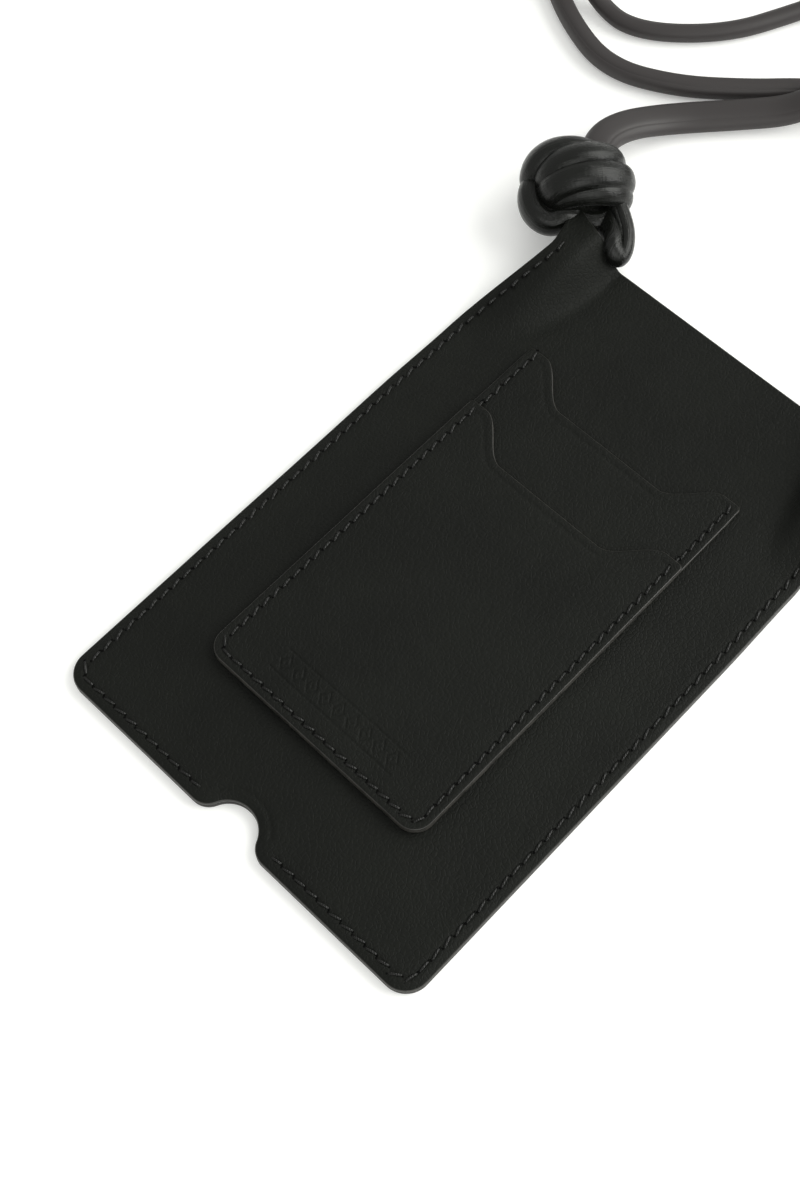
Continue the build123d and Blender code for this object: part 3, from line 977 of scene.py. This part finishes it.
# A knot's strands: width, height and points, across, up and out of the knot in the view
KNOT_STRANDS = [
    # the lobe over the top and down the left, behind
    (8.2, 6.6, [(7, 3, -5), (5.5, 7.5, -1), (0, 9.3, 2.5), (-6.5, 8.4, 3.5),
                (-10.8, 5.2, 2.0), (-11.5, 1.0, -2.5), (-8, -4, -6)]),
    # the upper wrap across the front
    (7.6, 6.0, [(10.5, 6.0, -4), (9.3, 7.0, 1.5), (4.0, 6.6, 6.2), (-2.0, 5.6, 7.6),
                (-7.2, 3.4, 5.6), (-9.2, 0.4, 0.5), (-7, -1, -5)]),
    # the middle wrap
    (8.0, 6.4, [(8, -1, -7), (12.0, 1.0, -3), (11.6, 1.4, 2.6), (6.0, 1.2, 7.4),
                (-1.0, 0.4, 8.8), (-6.6, -1.6, 6.0), (-7.8, -3.6, 0), (-5, -4, -5)]),
    # the lower wrap
    (6.2, 5.4, [(7, -5, -6), (12.0, -3.6, -2.5), (11.4, -2.6, 2.0), (6.4, -2.9, 6.4),
                (0.0, -3.2, 6.8), (-5.0, -4.2, 4.2), (-7, -5, -1)]),
    # the lobe down the left and round the bottom
    (8.0, 6.6, [(-6, 2, -4), (-10.4, 1.2, -1.5), (-12.2, -2.6, 0.8), (-11.2, -7.2, 1.8),
                (-7.2, -9.9, 1.6), (-3.2, -8.4, 1.6), (-1.2, -5.2, -0.4), (0, -2, -4)]),
    # the strand that drops to the leather, deep under the wraps
    (7.4, 6.4, [(-5.0, -4.0, -1.5), (-0.5, -7.0, -0.4), (3.6, -9.4, 0.4), (7.6, -8.6, -0.4),
                (9.0, -4.5, -2.0)]),
    # the strand behind
    (8.0, 6.4, [(-7, 5, -6), (0, 4, -8.6), (7, 1, -7.4), (9.5, -4, -4)]),
]
KNOT_CORE = (9.0, 8.0, 7.0)
LOOP_STRAND = (5.5, 4.8, [
    (9.5, -3.0, 1.0), (11.2, -8.0, 2.0), (12.2, -12.5, 3.0), (11.7, -17.0, 4.0),
    (10.0, -19.6, 5.0), (8.6, -17.6, 6.2), (8.4, -14.4, 5.8), (8.0, -11.0, 2.6),
    (7.6, -7.5, 0.0), (7.8, -3.5, -1.0),
])


def knot_point(place, side):
    """A knot's own place in the scene, for the left knot or its mirror image."""
    across, up, out = place
    p = Vector(KNOT_AT) + Vector(VIEW_ACROSS) * across + Vector(VIEW_UP) * up
    p += Vector(VIEW_OUT) * out
    if side > 0:
        p.x = -p.x
    return p


def strand(name, side, width, height, route, closed, lists, section):
    """Adds one strand of a knot, flat against the knot's middle."""
    centre = knot_point((0, 0, 0), side)
    points = nurbs_points(name, [knot_point(p, side) for p in route], 0.5, closed)
    outs = [(p - centre).normalized() for p in points]
    count = len(points) - 1
    sizes = []
    for k in range(len(points)):
        ends = 1.0 if closed else mix(0.8, 1.0, smooth(min(k, count - k) / (0.18 * count)))
        uneven = noise.noise(Vector((k / 22, width, side)))
        sizes.append((width * ends * (1 + 0.05 * uneven), height * ends * (1 - 0.05 * uneven)))
    tube(points, outs, sizes, section, *lists, closed=closed)


def knot_core(lists, side):
    """A dark filled middle, so that nothing shows through between the strands."""
    verts, faces, uvs = lists
    start, rings, turns = len(verts), 10, 20
    for i in range(rings + 1):
        polar = math.pi * (i + 0.001) / (rings + 0.002)
        for j in range(turns):
            a = 2 * math.pi * j / turns
            unit = (math.sin(polar) * math.cos(a), math.sin(polar) * math.sin(a),
                    math.cos(polar))
            verts.append(knot_point([c * s for c, s in zip(unit, KNOT_CORE)], side))
            uvs.append((i * MM, j * MM))
    for i in range(rings):
        a, b = start + i * turns, start + (i + 1) * turns
        for j in range(turns):
            n = (j + 1) % turns
            quad = (a + j, b + j, b + n, a + n)
            faces.append(quad if side < 0 else quad[::-1])
    for base, flip in ((start, False), (start + rings * turns, True)):
        cap = tuple(range(base, base + turns))
        faces.append(cap if flip == (side > 0) else cap[::-1])


class POUCH_OT_knots(bpy.types.Operator):
    """Ties the cord's knot and its small loop at each mouth corner."""

    bl_idname = "pouch.knots"
    bl_label = "Knots and Loops"

    def execute(self, context):
        finish = knot_leather(context.scene.pouch_cord)
        section = cord_section(22, 205.0, 2.2, 0.08)
        for word, side in (("left", -1), ("right", 1)):
            knot, loop = ([], [], []), ([], [], [])
            for k, values in enumerate(KNOT_STRANDS):
                strand(f"{word}_knot_{k}", side, *values, False, knot, section)
            knot_core(knot, side)
            strand(f"{word}_loop_line", side, *LOOP_STRAND, True, loop, section)
            for name, lists, node in (("knot_wraps", knot, "knot"), ("corner_loop", loop, "loop")):
                piece = tube_object(f"{word}_{name}", *lists, finish)
                settle(piece, "cord_leather", f"{word}_{node}")
        return {"FINISHED"}


class POUCH_OT_tie(bpy.types.Operator):
    """Wraps the leather band round the coil."""

    bl_idname = "pouch.tie"
    bl_label = "Coil Tie"

    def execute(self, context):
        settings = context.scene.pouch_cord
        half = settings.tie_width / MM / 2
        circles = [(INNER_TURN_R, 3.4), (OUTER_TURN_R, 3.4), (TOP_TURN_R, 9.7)]
        hull = []
        for k in range(72):
            a = 2 * math.pi * k / 72
            d = (math.cos(a), math.sin(a))
            r, z = max(circles, key=lambda c: c[0] * d[0] + c[1] * d[1])
            hull.append((r + 3.7 * d[0], z + 3.7 * d[1], d))
        radial = Vector((math.cos(math.radians(TIE_ANGLE)), math.sin(math.radians(TIE_ANGLE)), 0))
        along = Vector((-radial.y, radial.x, 0))
        centre = Vector((*COIL_CENTRE, 0))
        profile = [(-half, 0.0), (-half + 0.2, 0.55), (-half + 0.6, 0.8), (0, 0.86),
                   (half - 0.6, 0.8), (half - 0.2, 0.55), (half, 0.0)]
        verts, faces, uvs = [], [], []
        for k, (r, z, d) in enumerate(hull):
            for across, proud in profile:
                high = max(0.03, z + d[1] * proud)
                verts.append(centre + radial * (r + d[0] * proud) + along * across
                             + Vector((0, 0, high)))
                uvs.append((k * MM, across * MM))
        n, count = len(profile), len(hull)
        for k in range(count):
            a, b = k * n, (k + 1) % count * n
            for j in range(n - 1):
                faces.append((a + j, a + j + 1, b + j + 1, b + j))
            faces.append((a + n - 1, a, b, b + n - 1))
        tie = tube_object("coil_band", verts, faces, uvs, knot_leather(settings))
        settle(tie, "cord_leather", "coil_tie")
        return {"FINISHED"}


class POUCH_OT_cord_facts(bpy.types.Operator):
    """Removes the route stored on the cord, once everything on it is made."""

    bl_idname = "pouch.cord_facts"
    bl_label = "Cord Facts"

    def execute(self, context):
        cord = bpy.data.objects["neck_cord"]
        del cord["path"]
        return {"FINISHED"}


class POUCH_OT_panels(bpy.types.Operator):
    """Cuts and shapes the back and front panels."""

    bl_idname = "pouch.panels"
    bl_label = "Panels"

    def execute(self, context):
        settings = context.scene.pouch_leather
        thick = settings.thickness / MM
        loops = (1.6, 2.0, 2.4, 2.8, 3.2, 3.6, 4.4)
        outline = pouch_outline()
        finishes = leather_pair(settings)
        rounding = settings.edge_rounding / MM
        front = leather_sheet(
            "front_leather", outline, shaped(front_height(settings)), thick, finishes,
            rounding, loops, 1.8,
        )
        back = leather_sheet(
            "back_leather", outline, shaped(lies_flat(BACK_Z + thick)), thick, finishes,
            rounding, loops, 2.4,
        )
        for sheet, node in ((front, "front_panel"), (back, "back_panel")):
            for vertex in sheet.data.vertices:
                vertex.co.z = max(vertex.co.z, 0.00002)
            settle(sheet, "leather", node)
        return {"FINISHED"}


class POUCH_OT_linings(bpy.types.Operator):
    """Cuts the two cloth linings."""

    bl_idname = "pouch.linings"
    bl_label = "Linings"

    def execute(self, context):
        settings = context.scene.pouch_leather
        cloth = shared(lining_cloth, "lining_cloth", settings.lining_colour)
        outline = pouch_outline(LINING_INSET, 0.6, 1.2)
        heights = {
            "back": lies_flat(BACK_LINING_Z + LINING),
            "front": lambda u, v, inset: FRONT_LINING_Z + LINING + swell(u, v) - 0.05,
        }
        for word, height in heights.items():
            lining = leather_sheet(
                f"{word}_cloth", outline, shaped(height), LINING - 0.05, [cloth, cloth],
                0.15, (), 2.6,
            )
            settle(lining, "lining", f"{word}_lining")
        return {"FINISHED"}


class POUCH_OT_pockets(bpy.types.Operator):
    """Cuts the two card pocket layers, the upper one with its stamped border."""

    bl_idname = "pouch.pockets"
    bl_label = "Card Pockets"

    def execute(self, context):
        settings = context.scene.pouch_leather
        thick = settings.thickness / MM
        finishes = leather_pair(settings)
        half = STAMP_HALF + 0.6
        stamp = [
            (POCKET_X - half + STAMP_MESH * i, STAMP_Y - 3.8 + STAMP_MESH * j, INTERIOR)
            for i in range(int(2 * half / STAMP_MESH) + 1) for j in range(30)
        ]
        layers = (
            ("long", LONG_Z, LONG_TOP_Y, ()),
            ("short", SHORT_Z, SHORT_TOP_Y, stamp),
        )
        for word, base, top_y, extra in layers:
            height = pocket_height(base, thick, bool(extra))
            pocket = leather_sheet(
                f"{word}_pocket", pocket_outline(top_y), shaped(height), thick, finishes,
                settings.edge_rounding / MM, (1.5, 1.9, 2.3, 2.7, 3.1, 3.8), 2.0, extra,
            )
            settle(pocket, "leather", f"card_pocket_{word}")
        return {"FINISHED"}


# Painted shade: the near-black colour of the flattened discs at each stitch's ends, which stand
# for the shadow inside the needle holes
NEEDLE_HOLE_SHADE = (0.0012, 0.0012, 0.0011)


def stitch_tree(names, sign, finish, hole_shade_finish):
    """A node tree that sews stitches along a seam's curve: sign is -1 on an under side."""
    tree = bpy.data.node_groups.new("seam_stitches", "GeometryNodeTree")
    sockets = {"Seam": "Geometry", **dict.fromkeys(names, "Float"), "Seed": "Int"}
    for name, kind in sockets.items():
        tree.interface.new_socket(name, in_out="INPUT", socket_type="NodeSocket" + kind)
    tree.interface.new_socket("Stitches", in_out="OUTPUT", socket_type="NodeSocketGeometry")
    nodes, links = tree.nodes, tree.links
    given = nodes.new("NodeGroupInput").outputs
    result = nodes.new("NodeGroupOutput").inputs

    def node(kind, inputs=(), **settings):
        new = nodes.new(kind)
        for key, value in settings.items():
            setattr(new, key, value)
        for key, value in dict(inputs).items():
            if isinstance(value, bpy.types.NodeSocket):
                links.new(value, new.inputs[key])
            else:
                new.inputs[key].default_value = value
        return new

    def times(value, factor):
        return node("ShaderNodeMath", {0: value, 1: factor}, operation="MULTIPLY").outputs[0]

    def vector(x=0.0, y=0.0, z=0.0):
        return node("ShaderNodeCombineXYZ", {"X": x, "Y": y, "Z": z}).outputs[0]

    def joined(shapes):
        join = node("GeometryNodeJoinGeometry")
        for shape in shapes:
            links.new(shape.outputs[0], join.inputs[0])
        return join.outputs[0]

    def uneven(low, high):
        return node("FunctionNodeRandomValue", {2: low, 3: high, "Seed": given["Seed"]},
                    data_type="FLOAT").outputs[1]

    spaced = node("GeometryNodeResampleCurve", {"Curve": given["Seam"], "Length": given["Pitch"]},
                  mode="LENGTH")
    reach, dip = times(given["Pitch"], 0.40), times(given["Thread"], -0.62 * sign)
    crown = times(given["Thread"], 0.22 * sign)
    arch = node("GeometryNodeCurvePrimitiveBezierSegment", {
        "Resolution": 8,
        "Start": vector(times(reach, -1.0), 0.0, dip),
        "Start Handle": vector(times(reach, -0.85), 0.0, crown),
        "End Handle": vector(times(reach, 0.85), 0.0, crown),
        "End": vector(reach, 0.0, dip),
    })
    ring = node("GeometryNodeCurvePrimitiveCircle",
                {"Resolution": 8, "Radius": times(given["Thread"], 0.5)})
    stitch = node("GeometryNodeCurveToMesh", {
        "Curve": arch.outputs["Curve"], "Profile Curve": ring.outputs["Curve"],
        "Fill Caps": True,
    })
    # Painted shade: flattened discs at both ends of each stitch, in the near-black hole finish,
    # stand for the dark insides of the needle holes
    pit = node("GeometryNodeMeshUVSphere", {
        "Segments": 8, "Rings": 4, "Radius": times(given["Thread"], 0.72)})
    pits = [
        node("GeometryNodeTransform", {
            "Geometry": pit.outputs["Mesh"],
            "Translation": vector(times(given["Pitch"], end), 0.0,
                                  times(given["Thread"], -0.16 * sign)),
            "Scale": (0.9, 1.0, 0.22),
        })
        for end in (-0.46, 0.46)
    ]
    hole_shades = node("GeometryNodeSetMaterial", {0: joined(pits), "Material": hole_shade_finish})
    yarn = node("GeometryNodeSetMaterial", {0: stitch.outputs[0], "Material": finish})
    tangent = node("GeometryNodeInputTangent").outputs[0]
    turned = node("FunctionNodeAlignRotationToVector", {"Vector": tangent}, axis="X",
                  pivot_axis="Z")
    angle = node("ShaderNodeMath", {0: given["Slant"], 1: uneven(-0.13, 0.13)}).outputs[0]
    spin = node("FunctionNodeEulerToRotation", {0: vector(0.0, 0.0, angle)})
    both = node("FunctionNodeRotateRotation", {
        "Rotation": turned.outputs[0], "Rotate By": spin.outputs[0]}, rotation_space="LOCAL")
    placed = node("GeometryNodeInstanceOnPoints", {
        "Points": spaced.outputs[0], "Instance": joined((yarn, hole_shades)),
        "Rotation": both.outputs[0], "Scale": uneven(0.94, 1.05),
    })
    solid = node("GeometryNodeRealizeInstances", {0: placed.outputs[0]})
    shade = node("GeometryNodeSetShadeSmooth", {0: solid.outputs[0]})
    links.new(shade.outputs[0], result[0])
    return tree


def sew(name, node, seam, pitch, settings, sign=1.0):
    """Stitches along a seam of close points, as one plain mesh that stands for a node."""
    values = {"Pitch": pitch, "Thread": settings.thread, "Slant": settings.slant}
    # Painted shade: the needle holes get a near-black finish of their own
    tree = stitch_tree(
        values, sign, shared(waxed_thread, "waxed_thread", settings.colour),
        shared(burnished_edge, "needle_hole", NEEDLE_HOLE_SHADE, 0.05),
    )
    values["Seed"] = settings.seed
    line, _ = curve_object(name + "_line", "POLY", seam)
    modifier = line.modifiers.new("stitches", "NODES")
    modifier.node_group = tree
    for item in tree.interface.items_tree:
        if item.name in values:
            modifier[item.identifier] = values[item.name]
    graph = bpy.context.evaluated_depsgraph_get()
    mesh = bpy.data.meshes.new_from_object(line.evaluated_get(graph))
    mesh.name = name
    bpy.data.curves.remove(line.data)
    bpy.data.node_groups.remove(tree)
    settle(in_scene(name, mesh), "thread", node)


def seam_line(side, inset):
    """Flat places along one side's seam, from the mouth down to the notch."""
    x, y, r = HALF_WIDTH - inset, -HALF_LENGTH + inset, BOTTOM_CORNER_R - inset
    places = [(x, SEAM_START_Y)] + arc(x - r, y + r, r, 0, -90, 0.5) + [(SEAM_NOTCH_X, y)]
    line = dense(places, 0.6, closed=False) + places[-1:]
    return [(side * a, b) for a, b in line]


def pocket_seam_line(thick):
    """The U-shaped seam, on the short layer and above it on the long one."""
    short, long = (pocket_height(z, thick) for z in (SHORT_Z, LONG_Z))
    inset = POCKET_SEAM_INSET
    w, low, r = POCKET_HALF_WIDTH - inset, POCKET_BOTTOM_Y + inset, POCKET_CORNER_R - inset
    places = [(-w, LONG_TOP_Y - POCKET_SEAM_START)] + arc(-w + r, low + r, r, 180, 270, 0.5)
    places += arc(w - r, low + r, r, 270, 360, 0.5) + [(w, LONG_TOP_Y - POCKET_SEAM_START)]
    line = []
    for x, v in dense(places, 0.5, closed=False):
        u = x + POCKET_X
        step = smooth((v - SHORT_TOP_Y + 0.4) / 0.8)
        line.append(layer_point(u, v, mix(short(u, v, inset), long(u, v, inset), step)))
    return line


class POUCH_OT_stitches(bpy.types.Operator):
    """Sews every seam: the sides and bottom, front and back, and the pockets."""

    bl_idname = "pouch.stitches"
    bl_label = "Stitching"

    def execute(self, context):
        settings = context.scene.pouch_stitches
        leather = context.scene.pouch_leather
        inset = leather.seam_inset / MM
        radius = settings.thread / MM / 2
        height = front_height(leather)
        pitch = settings.seam_pitch
        for word, side in (("left", -1), ("right", 1)):
            flat = seam_line(side, inset)
            front = [layer_point(u, v, height(u, v, inset) + 0.4 * radius) for u, v in flat]
            back = [layer_point(u, v, radius + 0.05) for u, v in flat]
            sew(f"{word}_front_stitches", f"{word}_seam_thread", front, pitch, settings)
            sew(f"{word}_back_stitches", f"{word}_bobbin_thread", back, pitch, settings, -1.0)
        line = pocket_seam_line(leather.thickness / MM)
        tops = [p + Vector((0, 0, 0.4 * radius)) for p in line]
        under = [Vector((p.x, p.y, FRONT_Z + swell(p.x, p.y) - 0.1 * radius)) for p in line]
        pitch = settings.pocket_pitch
        sew("pocket_stitches", "pocket_seam_thread", tops, pitch, settings)
        sew("pocket_back_stitches", "pocket_bobbin_thread", under, pitch, settings, -1.0)
        return {"FINISHED"}


STEPS = (
    POUCH_OT_camera, POUCH_OT_cord, POUCH_OT_knots, POUCH_OT_tie, POUCH_OT_cord_facts,
    POUCH_OT_panels, POUCH_OT_linings, POUCH_OT_pockets, POUCH_OT_stitches,
    POUCH_OT_stage,
)


class POUCH_PT_sidebar(bpy.types.Panel):
    """Lists the pouch's sizes, colours and pieces."""

    bl_idname = "POUCH_PT_sidebar"
    bl_label = "Neck Pouch Wallet"
    bl_space_type = "VIEW_3D"
    bl_region_type = "UI"
    bl_category = "Pouch"

    def draw(self, context):
        for name in SETTINGS:
            box = self.layout.box()
            group = getattr(context.scene, name)
            for key in group.__annotations__:
                box.prop(group, key)
        for step in STEPS:
            self.layout.operator(step.bl_idname)


SETTINGS = {
    "pouch_leather": PouchLeatherSettings,
    "pouch_stitches": PouchStitchSettings,
    "pouch_cord": PouchCordSettings,
    "pouch_stage": PouchStageSettings,
}


def register():
    for group in (*SETTINGS.values(), *STEPS, POUCH_PT_sidebar):
        bpy.utils.register_class(group)
    for name, group in SETTINGS.items():
        setattr(bpy.types.Scene, name, PointerProperty(type=group))


def unregister():
    for name in SETTINGS:
        delattr(bpy.types.Scene, name)
    for group in (POUCH_PT_sidebar, *reversed(STEPS), *SETTINGS.values()):
        bpy.utils.unregister_class(group)


def main():
    register()
    for step in STEPS:
        category, name = step.bl_idname.split(".")
        getattr(getattr(bpy.ops, category), name)()


if __name__ == "__main__":
    main()
